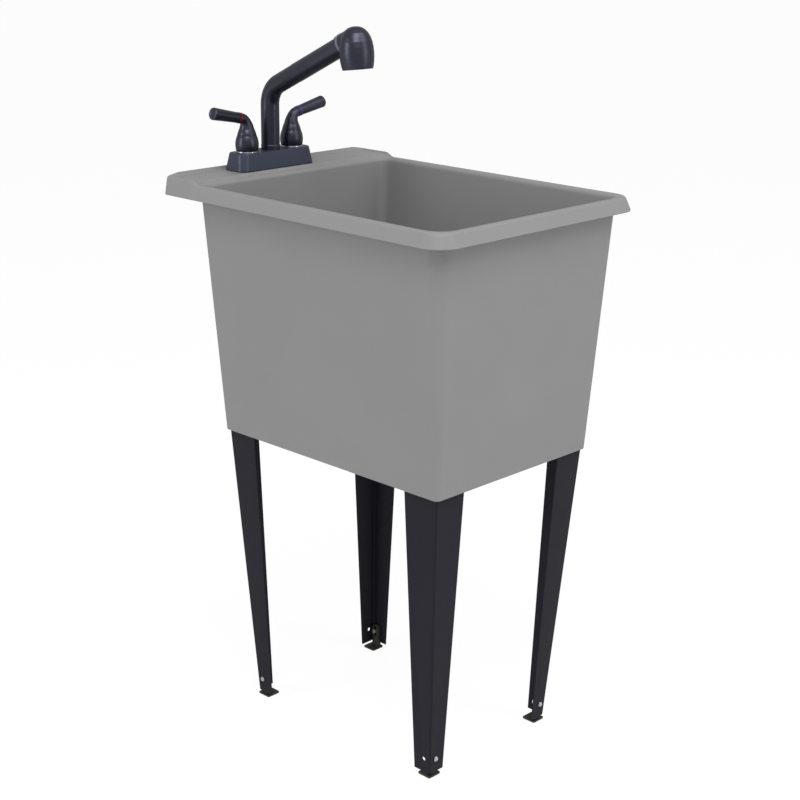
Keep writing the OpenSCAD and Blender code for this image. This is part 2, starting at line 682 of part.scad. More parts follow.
module mounting_nuts() {
    z = deck_z - wall - washer_t - wing_nut_h;
    color(nylon_color) for (s = [-1, 1]) translate([faucet_x + s * shank_in, faucet_y, z]) difference() {
        union() {
            cylinder(h = wing_nut_h, r = wing_nut_r);
            for (a = [0, 90]) rotate([0, 0, a]) translate([0, 0, wing_nut_h / 2])
                cube([2 * wing_reach, wing_t, wing_nut_h], center = true);
        }
        translate([0, 0, -cut]) cylinder(h = wing_nut_h + 2 * cut, r = shank_r + run_fit);
    }
}

module bonnet_nuts() {
    z = cover_z + valve_top - bonnet_lap;
    color(brass_color) for (s = [-1, 1]) translate([faucet_x + s * handle_in, faucet_y, z]) difference() {
        cylinder(h = bonnet_h, r = bonnet_r, $fn = 6);
        translate([0, 0, -cut]) cylinder(h = bonnet_lap + cut, r = valve_r - slip / 2);
        translate([0, 0, -cut]) cylinder(h = bonnet_h + 2 * cut, r = stem_r + 2 * run_fit);
        translate([0, 0, -cut]) cylinder(h = bonnet_lap + cut, r = valve_r + run_fit);
    }
}

// handles
trim_h = 2.6;
trim_r = 18.6;
bell_wall = 2.2;
bell_mid = 12;
bell_steps = 8;
bell_low = trim_h;
bell_eye_r = 11;
bell_bend = (bell_r - bell_top_r) / pow(bell_h - bell_mid, 2);
function bell_at(z) = bell_r - bell_bend * pow(z - bell_mid, 2);

module trim_rings() {
    in = valve_r + slip;
    color(chrome_color) for (s = [-1, 1]) translate([faucet_x + s * handle_in, faucet_y, cover_z]) rotate_extrude()
        polygon([[in, 0], [trim_r, 0], [trim_r + slip, trim_h / 3], [trim_r, trim_h * 3 / 4], [trim_r - trim_h / 3, trim_h],
            [in, trim_h]]);
}

// a handle's pieces are drawn about their own axis with the lever along +X, and mirrored for the hot side
module at_handle(s) {
    translate([faucet_x + s * handle_in, faucet_y, cover_z]) mirror([s < 0 ? 1 : 0, 0, 0]) children();
}

module bell(s) {
    color(black_color) at_handle(s) rotate_extrude() polygon(concat(
        [for (i = [0:bell_steps]) let (z = lerp(bell_low, bell_h, i / bell_steps)) [bell_at(z), z]],
        [[bell_eye_r, bell_h], [bell_eye_r, bell_h - bell_wall]],
        [for (i = [bell_steps - 1:-1:0]) let (z = lerp(bell_low, bell_h - bell_wall, i / bell_steps))
            [bell_at(z) - bell_wall, z]]));
}

module stem(s) {
    color(brass_color) at_handle(s) {
        translate([0, 0, -stem_depth]) cylinder(h = stem_depth + valve_top + bonnet_h, r = stem_r);
        cylinder(h = spline_top, r = spline_r);
    }
}

// the handle's lower part: height share and radius share between the seam and the neck
shoulder_top = 38;
shoulder_r = 12.4;
shoulder_shares = [[0, 0], [0.3, 0.2], [0.65, 0.55], [1, 1]];
// the neck's way to the lever: shares of its reach, of its height and of its turn, and its radius
neck_shares = [[0, -0.15, 0, 0.985], [0, 0.02, 0, 0.985], [0.05, 0.3, 0.12, 0.62], [0.18, 0.56, 0.32, 0.28], [0.42, 0.8, 0.6, 0.1],
    [0.7, 0.94, 0.84, 0.03], [1, 1, 1, 0]];
neck_reach = 13;
neck_sides = 24;
neck_lap = 1;
function neck_ring(q) = let (x = q[0] * neck_reach, z = lerp(shoulder_top, lever_h, q[1]),
    t = q[2] * (90 - lever_tilt), r = lerp(lever_r + 2 * run_fit, shoulder_r, q[3]))
    [for (j = [0:neck_sides - 1]) let (g = 360 * j / neck_sides)
        [x + r * cos(g) * cos(t), r * sin(g), z - r * cos(g) * sin(t)]];
module along_lever() {
    translate([neck_reach, 0, lever_h]) rotate([0, 90 - lever_tilt, 0]) children();
}

module handle(s) {
    color(black_color) at_handle(s) difference() {
        union() {
            rotate_extrude() polygon(concat([[0, bell_h + slip]],
                [for (q = shoulder_shares) [lerp(bell_top_r, shoulder_r, q[1]), lerp(bell_h + slip, shoulder_top, q[0])]],
                [[0, shoulder_top]]));
            loft([for (q = neck_shares) neck_ring(q)]);
            along_lever() translate([0, 0, -neck_lap])
                cylinder(h = lever_l - cap_l + neck_lap, r1 = lever_at(-neck_lap), r2 = lever_at(lever_l - cap_l));
        }
        cylinder(h = spline_top + slip, r = spline_r + run_fit);
        translate([0, spline_r, set_screw_z]) rotate([-90, 0, 0]) cylinder(h = bell_r, r = set_screw_r + run_fit);
    }
}

cap_l = 8;
band_w = 6;
band_t = 0.5;
set_screw_r = 2;
set_screw_z = 33;
set_screw_l = 7;
function lever_at(z) = lerp(lever_r, lever_tip_r, z / lever_l);

module index_band(s, shade) {
    color(shade) at_handle(s) along_lever() difference() {
        cylinder(h = band_w, r1 = lever_r + band_t, r2 = lever_at(band_w) + band_t);
        cylinder(h = band_w, r1 = lever_r + run_fit, r2 = lever_at(band_w) + run_fit);
    }
}

module lever_cap(s) {
    start = lever_l - cap_l + slip / 2;
    color(black_color) at_handle(s) along_lever() rotate_extrude() polygon([[0, start], [lever_at(start), start],
        [lever_tip_r, lever_l - cap_l / 4], [lever_tip_r * 9 / 10, lever_l - cap_l / 12], [lever_tip_r * 7 / 10, lever_l],
        [0, lever_l]]);
}

module set_screw(s) {
    color(zinc_color) at_handle(s) translate([0, spline_r + run_fit, set_screw_z]) rotate([-90, 0, 0])
        cylinder(h = set_screw_l, r = set_screw_r);
}

// spout: heights are above the cover's top
collar_r = 15.9;
collar_h = 9;
collar_groove = 0.6;
oring_at = [13, 20];
tube_in = spout_r - spout_wall;
oring_r = (tube_in - post_r) / 2 - run_fit;
bend_turn = 90 - wand_tilt;
bend_leg = spout_bend * tan(bend_turn / 2);

module at_spout() {
    translate([faucet_x, spout_y, cover_z]) children();
}
// the frame of the wand: its origin is where the wand's axis meets the tube's axis and its Z runs to the head
module along_wand() {
    at_spout() translate([0, 0, spout_h]) rotate([bend_turn, 0, 0]) children();
}

module spout_collar() {
    step = collar_h / 6;
    color(black_color) at_spout() rotate_extrude() polygon([[post_r + slip, 0], [collar_r, 0], [collar_r, 2 * step],
        [collar_r - collar_groove, 2 * step], [collar_r - collar_groove, 3 * step], [collar_r, 3 * step],
        [collar_r, 5 * step], [collar_r - collar_groove, collar_h], [post_r + slip, collar_h]]);
}

module spout_orings() {
    color(rubber_color) for (z = oring_at) at_spout() translate([0, 0, z]) rotate_extrude()
        translate([post_r + run_fit + oring_r, 0]) circle(r = oring_r, $fn = 16);
}

// the bend is a hair thinner than the straight tubes, which lap over its ends
bend_ease = 0.05;
bend_lap = 0.3;

module bent_bar(r, bend_r, start, end) {
    at_spout() {
        translate([0, 0, start]) cylinder(h = spout_h - bend_leg + bend_lap - start, r = r);
        translate([0, -spout_bend, spout_h - bend_leg]) rotate([90, 0, 90])
            rotate_extrude(angle = bend_turn) translate([spout_bend, 0]) circle(r = bend_r);
    }
    along_wand() translate([0, 0, bend_leg - bend_lap]) cylinder(h = end + bend_lap - bend_leg, r = r);
}

module spout_tube() {
    start = collar_h + slip;
    color(black_color) difference() {
        bent_bar(spout_r, spout_r - bend_ease, start, dock_at - slip);
        bent_bar(tube_in, tube_in - bend_ease, start - cut, dock_at + cut);
    }
}

bushing_l = 20;
bushing_wall = 1.4;
dock_r = tube_in - run_fit - bushing_wall - run_fit;
dock_l = 30;
wand_end_r = 15.6;
wand_wall = 3.2;
wand_collar_r = 17.4;
collar_from = 35;
gasket_from = 30;
boss_from = 25;
gasket_proud = 0.5;
spigot_r = 12;
spigot_l = 8;

module dock_bushing() {
    color(nylon_color) along_wand() translate([0, 0, dock_at - slip - bushing_l]) difference() {
        cylinder(h = bushing_l, r = tube_in - run_fit);
        translate([0, 0, -cut]) cylinder(h = bushing_l + 2 * cut, r = tube_in - run_fit - bushing_wall);
    }
}

// the head about its own axis: Z is down from the crossing with the wand's axis
module along_head() {
    along_wand() translate([0, 0, head_at]) rotate([-bend_turn - head_tilt, 0, 0]) rotate([180, 0, 0]) children();
}
// the frame of the nozzle face: origin on the head's axis in the face, Z out of the face
module along_face() {
    along_head() translate([0, 0, face_drop]) rotate([head_tilt - face_tilt, 0, 0]) children();
}
crown_power = 2.3;
crown_run = crown_h + head_low;
function crown_at(t, grow) = [(head_r + grow) * pow(1 - pow(t, crown_power), 1 / crown_power), head_low - t * (crown_run + grow)];
barrel_steps = 5;
head_run = face_drop * 6 / 5;
function barrel_at(t, grow) = let (z = lerp(head_low, head_run, t), k = (z - head_low) / (face_drop - head_low))
    [lerp(head_r, nozzle_r, k * k) + grow, z];
// shares of the crown's height at which its outline has a point
crown_shares = [1, 0.985, 0.94, 0.86, 0.75, 0.6, 0.42, 0.22, 0];
module bullet(grow) {
    rotate_extrude() polygon(concat([for (t = crown_shares) crown_at(t, grow)],
        [for (i = [1:barrel_steps]) barrel_at(i / barrel_steps, grow)], [[0, head_run]]));
}

module wand() {
    color(black_color) along_wand() difference() {
        union() {
            translate([0, 0, dock_at]) cylinder(h = head_at - collar_from - dock_at, r1 = wand_r, r2 = wand_end_r);
            translate([0, 0, head_at - collar_from]) cylinder(h = collar_from - gasket_from, r = wand_collar_r);
            translate([0, 0, head_at - collar_from]) cylinder(h = collar_from - boss_from + spigot_l, r = spigot_r);
            translate([0, 0, dock_at - dock_l]) cylinder(h = dock_l + wand_wall / 2, r = dock_r);
        }
        translate([0, 0, dock_at - dock_l - cut]) cylinder(h = head_at, r = dock_r - wand_wall);
        translate([0, 0, dock_at + wand_wall]) cylinder(h = head_at - collar_from - wand_wall - dock_at, r = wand_end_r - wand_wall);
    }
}

module hose_nipple() {
    out = dock_r - wand_wall - run_fit;
    color(brass_color) along_wand() translate([0, 0, dock_at - dock_l - nipple_out]) difference() {
        union() {
            cylinder(h = nipple_out + dock_l, r = out * 3 / 4);
            translate([0, 0, nipple_out]) cylinder(h = dock_l / 2, r = out);
        }
        translate([0, 0, -cut]) cylinder(h = dock_l + nipple_out + 2 * cut, r = out / 2);
    }
}

nipple_out = 10;

module head_gasket() {
    color(ring_color) along_wand() translate([0, 0, head_at - gasket_from]) difference() {
        cylinder(h = gasket_from - boss_from, r = wand_collar_r + gasket_proud);
        translate([0, 0, -cut]) cylinder(h = gasket_from, r = spigot_r + run_fit);
    }
}

head_wall = 3;
insert_t = 7;
insert_r = 20.8;
inlet_r = 6;
drop_r = 7;
chamber_r = 12;

module spray_head() {
    color(black_color) difference() {
        union() {
            along_head() bullet(0);
            along_wand() translate([0, 0, head_at - boss_from - slip]) cylinder(h = boss_from + slip, r = wand_collar_r);
        }
        // the seat of the ring and of the wand's collar
        along_wand() translate([0, 0, head_at - boss_from - 2 * head_r])
            cylinder(h = 2 * head_r, r = wand_collar_r + gasket_proud + slip);
        along_face() cylinder(h = head_run, r = 2 * nozzle_r);
        along_face() translate([0, 0, -insert_t]) cylinder(h = insert_t + cut, r = insert_r + slip / 2);
        along_head() translate([0, 0, inlet_r + head_wall]) cylinder(h = face_drop - insert_t - inlet_r, r = chamber_r);
        along_wand() translate([0, 0, head_at - boss_from - cut]) cylinder(h = spigot_l + cut, r = spigot_r + run_fit);
        along_wand() translate([0, 0, head_at - boss_from]) cylinder(h = boss_from + drop_r / 2, r = inlet_r);
        along_head() translate([0, 0, -drop_r / 4]) cylinder(h = face_drop / 2, r = drop_r);
    }
}

jet_r = 0.9;
jet_rings = [[7, 12], [11, 18], [15, 24]];
insert_in = 0.8;
insert_groove = 1;

module nozzle_face() {
    color(rubber_color) along_face() difference() {
        translate([0, 0, slip - insert_t]) cylinder(h = insert_t - slip - insert_in, r = insert_r);
        for (q = jet_rings) for (i = [0:q[0] - 1]) rotate([0, 0, 360 * i / q[0]])
            translate([insert_r * q[1] / 30, 0, -insert_in - insert_groove]) cylinder(h = insert_groove + cut, r = jet_r, $fn = 13);
    }
}

module leg_front_left() { leg(-1, 0); }
module leg_front_right() { leg(1, 0); }
module leg_back_left() { leg(-1, 1); }
module leg_back_right() { leg(1, 1); }
module foot_front_left() { foot(-1, 0); }
module foot_front_right() { foot(1, 0); }
module foot_back_left() { foot(-1, 1); }
module foot_back_right() { foot(1, 1); }
module hot_bell() { bell(-1); }
module cold_bell() { bell(1); }
module hot_stem() { stem(-1); }
module cold_stem() { stem(1); }
module hot_handle() { handle(-1); }
module cold_handle() { handle(1); }
module hot_ring() { index_band(-1, hot_color); }
module cold_ring() { index_band(1, cold_color); }
module hot_lever_cap() { lever_cap(-1); }
module cold_lever_cap() { lever_cap(1); }
module hot_set_screw() { set_screw(-1); }
module cold_set_screw() { set_screw(1); }

tub();
leg_front_left();
leg_front_right();
leg_back_left();
leg_back_right();
foot_front_left();
foot_front_right();
foot_back_left();
foot_back_right();
foot_screws();
foot_nuts();
drain_body();
drain_gasket();
drain_washer();
drain_locknut();
drain_stopper();
faucet_gasket();
faucet_cover();
faucet_waterway();
mounting_washers();
mounting_nuts();
bonnet_nuts();
trim_rings();
hot_bell();
cold_bell();
hot_stem();
cold_stem();
hot_handle();
cold_handle();
hot_ring();
cold_ring();
hot_lever_cap();
cold_lever_cap();
hot_set_screw();
cold_set_screw();
spout_collar();
spout_orings();
spout_tube();
dock_bushing();
wand();
hose_nipple();
head_gasket();
spray_head();
nozzle_face();
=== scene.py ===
"""The looks of a utility laundry sink: a moulded grey tub, black steel legs and a blue-black pull-out faucet.

Lengths are in millimetres, as in the part's source, and become metres where a mesh is made. An outline is
a tuple: half the width, the front, the back, the radius of the front corners and that of the back ones.
The tub, the faucet's cover and the two handles are modelled again here with finer edges. The other pieces
are the part's own.
"""
import json
import math

import bmesh
import bpy
from mathutils import Matrix, Vector


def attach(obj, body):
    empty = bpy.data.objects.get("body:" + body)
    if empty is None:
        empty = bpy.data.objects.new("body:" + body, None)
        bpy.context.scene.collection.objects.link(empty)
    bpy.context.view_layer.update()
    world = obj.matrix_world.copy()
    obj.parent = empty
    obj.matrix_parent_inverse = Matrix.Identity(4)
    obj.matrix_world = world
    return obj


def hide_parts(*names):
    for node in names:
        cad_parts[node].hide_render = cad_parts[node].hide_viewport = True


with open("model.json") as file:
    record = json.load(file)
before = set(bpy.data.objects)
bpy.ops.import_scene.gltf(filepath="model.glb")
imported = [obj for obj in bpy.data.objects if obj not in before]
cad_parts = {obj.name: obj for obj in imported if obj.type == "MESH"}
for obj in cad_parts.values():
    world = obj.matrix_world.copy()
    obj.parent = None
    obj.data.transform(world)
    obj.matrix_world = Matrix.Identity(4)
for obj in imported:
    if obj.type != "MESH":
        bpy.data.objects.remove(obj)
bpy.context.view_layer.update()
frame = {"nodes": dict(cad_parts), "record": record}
MM = 0.001

# Sizes of the tub
RIM_W = 457
RIM_D = 612
RIM_TOP = 901.5  # the rim's crown above the floor
TUB_H = 412  # from the rim's crown down to the base
APRON_H = 22
APRON_LEAN = 7  # how far the apron leans in at its front and sides
BACK_LEAN = 1
SIDE_REACH = 21.8  # from the rim's edge in to the wall, as the next two
FRONT_REACH = 20.3
DECK_REACH = 70
SIDE_DRAFT = 30.5  # how far the wall comes in between the apron and the base, as the next two
FRONT_DRAFT = 26.5
BACK_DRAFT = 12.2
WALL = 4.5
SKIRT_WALL = 4
SKIRT_H = 55
DECK_RISE = 4.5
CURB_RISE = 6
CURB_W = 4.5
LIP_R = 7.5
EDGE_R = 6
FLOOR_R = 22
FLOOR_FALL = 6
APRON_FRONT_R = 40
APRON_BACK_R = 14
WALL_FRONT_R = 31
WALL_BACK_R = 8
BASE_R = 8
BASIN_BACK_R = 16
RAMP_W = 20  # length of the ramp from the rim up to the faucet deck
RAMP_AHEAD = 3 / 4  # share of the ramp that lies ahead of the basin's back wall
LIP_RAMP_W = 6
PAD_R = 48
PAD_CORNER = 3 / 4  # the pad's corner radius as a share of its reach
BOSS_T = 10
SEAT_R = 38.3
SEAT_T = 3
HOLE_R = 22.3

BASE_Z = RIM_TOP - TUB_H
APRON_Z = RIM_TOP - APRON_H
FLOOR_Z = BASE_Z + SKIRT_H
DRAIN_FLOOR_Z = FLOOR_Z - FLOOR_FALL
SKIRT_TOP_Z = FLOOR_Z - WALL - FLOOR_FALL / 2
UNDER_Z = RIM_TOP - WALL
LIP_Z = RIM_TOP - LIP_R
DECK_Z = RIM_TOP + DECK_RISE
WALL_X = RIM_W / 2 - SIDE_REACH
WALL_F = FRONT_REACH - RIM_D / 2
WALL_B = RIM_D / 2 - DECK_REACH
BASE_X = WALL_X - SIDE_DRAFT
BASE_F = WALL_F + FRONT_DRAFT
BASE_B = WALL_B - BACK_DRAFT
DRAIN_Y = (BASE_F + BASE_B) / 2

# Fine shape of the tub
EASE = 1.1  # small rounding of the lower edges
EDGE_TURN = 72  # degrees through which the crest's outer edge is rounded
BACK_EDGE_SHARE = 0.42  # how deep the crest's edge is at the back, as a share of EDGE_R
SIDE_LEDGE_SHARE = 0.4  # height of the side ledges as a share of CURB_RISE
LEDGE_SINK_FROM = 36  # the back ledge starts to sink this far from the rim's sides
LEDGE_SINK_W = 28
UNDER_FILLET = 3
WALL_END = 12  # the wall's even rows of points stop this far from its two ends
BASIN_END = 8  # the same for the basin's wall
SEAT_CHAMFER_W = 2
SEAT_CHAMFER_H = 0.6
CURB_AT = 3 / 4  # share of the way from the basin's lip to the crest, as the next two
HOLLOW_AT = 2 / 3
LIP_RAMP_AT = 1 / 2

# Steps of the tub's round and long stretches
CORNER_STEPS = 14
RAMP_STEPS = 16
RAMP_GAP = 0.0035  # least share of a side between two points of the ramp
LIP_STEPS = 8
EDGE_STEPS = 7
FILLET_STEPS = 10
WALL_STEPS = 6
DECK_STEPS = 5
FLOOR_STEPS = 5
BACK_STEPS = 12  # points in each half of the back edge
BACK_STEP = 0.012  # share of half the back edge between two of its points, from each corner on

# Ribs in the skirt that hold the tops of the legs
FOOT_X = 141
FOOT_FRONT = 220
FOOT_BACK = 190
SHEET = 1.5
BEND_R = 3.5
BEND_STEPS = 5
FLANGE_W = 30
FLANGE_D = 32.5
LEG_GAP = 0.8
SLIP = 0.3
RIB_T = 3
RIB_FOOT = 3
RIB_LAP = 1
RIB_LEAN = 0.2

# Sizes of the faucet
FAUCET_X = -26.7
FAUCET_Y = RIM_D / 2 - 34
GASKET_T = 1.5
COVER_L = 162
COVER_D = 52
COVER_H = 29
COVER_DRAFT = 4.5
END_DRAFT = 5
COVER_R = 13
COVER_Z = DECK_Z + COVER_H
COVER_CORNER_STEPS = 14
COVER_EDGE_R = 1.5
COVER_EDGE_STEPS = 6
COVER_TOP_FROM = 5
HANDLE_IN = 98.4 / 2  # half the distance between the two handles
BELL_H = 28
BELL_TOP_R = 15.8
SHOULDER_TOP = 38
SHOULDER_R = 12.4
NECK_REACH = 13
LEVER_H = 56.6
LEVER_L = 60
LEVER_TILT = 12
LEVER_R = 8.4
LEVER_TIP_R = 10.2
LEVER_TURN = math.radians(90 - LEVER_TILT)
CAP_L = 8
GRIP_END = LEVER_L - CAP_L
AROUND = 48  # points round a handle

# Profiles of the faucet, as short tables of lengths or of shares
COVER_FOOT = [(3, 0), (0.5, 0), (0.12, 0.15), (0, 0.6), (0, 4)]  # inset, height
SEAM_EDGE = [(0, 0.5), (0.15, 0.12), (0.5, 0.05)]  # height above the seam, less radius
SHOULDER = [(0.06, 0.03), (0.3, 0.2), (0.65, 0.55), (1, 1)]  # height, radius
SHOULDER_STEPS = 4
NECK = [  # reach, height, turn, radius
    (0, 0, 0, 1.0), (0.05, 0.3, 0.12, 0.62), (0.18, 0.56, 0.32, 0.28), (0.42, 0.8, 0.6, 0.1),
    (0.7, 0.94, 0.84, 0.03), (1, 1, 1, 0)]
NECK_STEPS = 5
GRIP = [  # place along the lever, less radius
    (4, 0), (20, 0), (36, 0), (GRIP_END - 0.6, 0), (GRIP_END - 0.15, 0.12), (GRIP_END, 0.5)]
CAP_START = [(0, 0.5), (0.15, 0.1), (0.6, 0)]  # place from the cap's start, less radius
CAP_RIM = [  # place back from the tip, less radius
    (2.4, 0.05), (1.5, 0.25), (0.8, 0.7), (0.3, 1.5), (0, 2.6), (0, 3.4), (0.5, 4.3)]
CAP_DISH = 0.7
DISH_RADII = (2.2, 0.2)

# How surfaces are made
WELD = 1e-6  # points nearer than this become one, in metres
SLIVER = 1e-7  # edges shorter than this are taken out, in metres
NORMAL_WEIGHT = 90
TUB_SHARP = 32
FAUCET_SHARP = 40

# How materials vary
WAVE_SCALE = 26
WAVE_STRENGTH = 0.15
GRAIN_STRENGTH = 0.25
ROUGH_DROP = 0.04
ROUGH_RISE = 0.05
NOISE_ROUGH = 0.55
# Colour and share of the painted edge highlight on the powder coat's outer edges
PAINTED_EDGE_COLOUR = (0.035, 0.035, 0.042)
PAINTED_EDGE_AMOUNT = 0.5
POWDER_SPREAD = 0.06
STAIN_DARKER = 0.82

# Room, light and camera, with places in metres
FLOOR_REACH = 40
FLOOR_WHITE = 0.86
FLOOR_GLOW = 1.07
FLOOR_GLOW_SHARE = 0.86
ROOM_LIGHT = 0.44
BACKDROP_LIGHT = 1.0
TUB_MIDDLE = (0, 0, 0.75)
BASIN_MIDDLE = (0, 0, 0.8)
CAMERA_PLACE = (-1.83834, -1.79565, 1.35858)
CAMERA_YAW = -45.84  # degrees round from the open front, towards the hot side
CAMERA_PITCH = -17.44  # looking down
CAMERA_ROLL = 0.51
SENSOR_W = 36  # millimetres
FOCAL_PIXELS = 1642.78
PICTURE_PIXELS = 800


def lerp(a, b, t):
    return a + (b - a) * t


def smooth(t):
    t = min(max(t, 0.0), 1.0)
    return t * t * (3 - 2 * t)


def turns(steps, sweep=90):
    """Angles in radians from none to the whole sweep."""
    return [math.radians(sweep * i / steps) for i in range(steps + 1)]


def linked(name, data):
    obj = bpy.data.objects.new(name, data)
    bpy.context.scene.collection.objects.link(obj)
    return obj


# Materials
def new_material(name, base, rough, metallic=0, specular=0.5, tint=(1, 1, 1)):
    mat = bpy.data.materials.new(name)
    mat.use_nodes = True
    tree = mat.node_tree
    shader = tree.nodes["Principled BSDF"]
    shader.inputs["Base Color"].default_value = (*base, 1)
    shader.inputs["Roughness"].default_value = rough
    shader.inputs["Metallic"].default_value = metallic
    shader.inputs["Specular IOR Level"].default_value = specular
    shader.inputs["Specular Tint"].default_value = (*tint, 1)
    return mat, tree, shader


def coords(tree, scale=(1, 1, 1)):
    where = tree.nodes.new("ShaderNodeTexCoord")
    mapping = tree.nodes.new("ShaderNodeMapping")
    mapping.inputs["Scale"].default_value = scale
    tree.links.new(where.outputs["Object"], mapping.inputs["Vector"])
    return mapping.outputs["Vector"]


def noise(tree, vector, scale, detail):
    node = tree.nodes.new("ShaderNodeTexNoise")
    node.inputs["Scale"].default_value = scale
    node.inputs["Detail"].default_value = detail
    node.inputs["Roughness"].default_value = NOISE_ROUGH
    tree.links.new(vector, node.inputs["Vector"])
    return node.outputs["Fac"]


def remap(tree, value, low, high, from_low=0.3, from_high=0.7):
    node = tree.nodes.new("ShaderNodeMapRange")
    node.inputs["From Min"].default_value = from_low
    node.inputs["From Max"].default_value = from_high
    node.inputs["To Min"].default_value = low
    node.inputs["To Max"].default_value = high
    tree.links.new(value, node.inputs["Value"])
    return node.outputs["Result"]


def colour_between(tree, value, first, second):
    node = tree.nodes.new("ShaderNodeMix")
    node.data_type = "RGBA"
    node.inputs["A"].default_value = (*first, 1)
    node.inputs["B"].default_value = (*second, 1)
    tree.links.new(value, node.inputs["Factor"])
    return node.outputs["Result"]


def bump(tree, height, strength, depth, under=None):
    """A relief of a depth in millimetres, over the relief under it."""
    node = tree.nodes.new("ShaderNodeBump")
    node.inputs["Strength"].default_value = strength
    node.inputs["Distance"].default_value = depth * MM
    tree.links.new(height, node.inputs["Height"])
    if under is not None:
        tree.links.new(under, node.inputs["Normal"])
    return node.outputs["Normal"]


def painted_edge_highlight(tree, colour):
    """Lightens the outer edges a little with the mesh's own pointiness: a painted edge highlight."""
    geometry = tree.nodes.new("ShaderNodeNewGeometry")
    edge = remap(tree, geometry.outputs["Pointiness"], 0, PAINTED_EDGE_AMOUNT, from_low=0.52, from_high=0.62)
    node = tree.nodes.new("ShaderNodeMix")
    node.data_type = "RGBA"
    node.inputs["B"].default_value = (*PAINTED_EDGE_COLOUR, 1)
    tree.links.new(edge, node.inputs["Factor"])
    tree.links.new(colour, node.inputs["A"])
    return node.outputs["Result"]


def plastic(name, first, second, rough, grain, depth, mottle, wave=0.12, specular=0.5, tint=(1, 1, 1)):
    """Moulded plastic: a mottle of two colours, a slow wave and a fine grain of a depth in millimetres."""
    mat, tree, shader = new_material(name, first, rough, specular=specular, tint=tint)
    vector = coords(tree)
    cloud = remap(tree, noise(tree, vector, mottle, detail=2), 0, 1)
    tree.links.new(colour_between(tree, cloud, first, second), shader.inputs["Base Color"])
    fine = noise(tree, vector, grain, detail=2)
    wide = noise(tree, vector, WAVE_SCALE, detail=2)
    tree.links.new(remap(tree, wide, rough - ROUGH_DROP, rough + ROUGH_RISE), shader.inputs["Roughness"])
    slow = bump(tree, wide, WAVE_STRENGTH, wave)
    tree.links.new(bump(tree, fine, GRAIN_STRENGTH, depth, under=slow), shader.inputs["Normal"])
    return mat


def powder_coat(name, first, second, rough):
    """Baked powder on sheet steel, with a faint orange peel and a painted highlight on its outer edges."""
    mat, tree, shader = new_material(name, first, rough, specular=0.09, tint=(0.74, 0.74, 1))
    vector = coords(tree)
    cloud = remap(tree, noise(tree, vector, scale=14, detail=3), 0, 1)
    # The outer edges get a painted edge highlight, lighter by pointiness
    tree.links.new(painted_edge_highlight(tree, colour_between(tree, cloud, first, second)), shader.inputs["Base Color"])
    peel = noise(tree, vector, scale=420, detail=2)
    patches = noise(tree, vector, scale=60, detail=3)
    sheen = remap(tree, patches, rough - POWDER_SPREAD, rough + POWDER_SPREAD)
    tree.links.new(sheen, shader.inputs["Roughness"])
    tree.links.new(bump(tree, peel, strength=0.35, depth=0.05), shader.inputs["Normal"])
    return mat


def metal(name, base, rough, grain_scale, spread):
    """Bare or plated metal with the lines of its machining and a faint stain."""
    mat, tree, shader = new_material(name, base, rough, metallic=1)
    lines = noise(tree, coords(tree, grain_scale), scale=1, detail=3)
    tree.links.new(remap(tree, lines, rough - spread, rough + spread), shader.inputs["Roughness"])
    stain = noise(tree, coords(tree), scale=40, detail=3)
    darker = tuple(c * STAIN_DARKER for c in base)
    stained = colour_between(tree, remap(tree, stain, 0, 1, from_low=0.35, from_high=0.75), base, darker)
    tree.links.new(stained, shader.inputs["Base Color"])
    tree.links.new(bump(tree, lines, strength=0.06, depth=0.02), shader.inputs["Normal"])
    return mat


TUB_GREY = plastic(
    "tub_grey", (0.280, 0.280, 0.280), (0.290, 0.290, 0.290), rough=0.46, grain=900, depth=0.02, mottle=7,
    specular=0.3)
LEG_BLACK = powder_coat("leg_black", (0.0080, 0.0070, 0.0130), (0.0100, 0.0090, 0.0155), rough=0.38)
FOOT_BLACK = plastic(
    "foot_black", (0.022, 0.022, 0.017), (0.030, 0.029, 0.023), rough=0.50, grain=500, depth=0.06, mottle=60)
FAUCET_BLACK = plastic(
    "faucet_black", (0.0035, 0.0030, 0.0070), (0.0045, 0.0040, 0.0095), rough=0.35, grain=1100, depth=0.008,
    mottle=30, wave=0.01, specular=1.0, tint=(0.72, 0.76, 1))
# The same blue-black plastic as the faucet, made lighter and bluer for the cover as a painted reflection of
# the front softbox
COVER_PAINTED_SHEEN_BLACK = plastic(
    "cover_black_painted_sheen", (0.028, 0.032, 0.054), (0.031, 0.035, 0.058), rough=0.42, grain=1100, depth=0.008,
    mottle=30, wave=0.01, specular=0.8, tint=(0.72, 0.78, 1))
RUBBER = plastic(
    "black_rubber", (0.022, 0.022, 0.022), (0.030, 0.030, 0.030), rough=0.62, grain=650, depth=0.05,
    mottle=50)
NYLON = plastic(
    "white_nylon", (0.70, 0.69, 0.64), (0.75, 0.74, 0.69), rough=0.45, grain=500, depth=0.03, mottle=40)
RED_BAND = plastic(
    "red_band", (0.100, 0.004, 0.012), (0.120, 0.005, 0.015), rough=0.34, grain=900, depth=0.01, mottle=60)
BLUE_BAND = plastic(
    "blue_band", (0.036, 0.028, 0.130), (0.044, 0.034, 0.155), rough=0.34, grain=900, depth=0.01, mottle=60)
# The ring at the spray head's boss: its light blue-grey is a painted highlight on the edge of the black boss
GREY_TRIM_PAINTED_HIGHLIGHT = plastic(
    "grey_trim", (0.13, 0.14, 0.18), (0.16, 0.17, 0.21), rough=0.35, grain=900, depth=0.01, mottle=60)
CHROME = metal("bright_chrome", (0.56, 0.57, 0.62), rough=0.24, grain_scale=(60, 60, 900), spread=0.04)
ZINC = metal("zinc_plate", (0.62, 0.62, 0.64), rough=0.34, grain_scale=(300, 300, 300), spread=0.08)
BRASS = metal("machined_brass", (0.62, 0.44, 0.18), rough=0.28, grain_scale=(80, 80, 1200), spread=0.07)

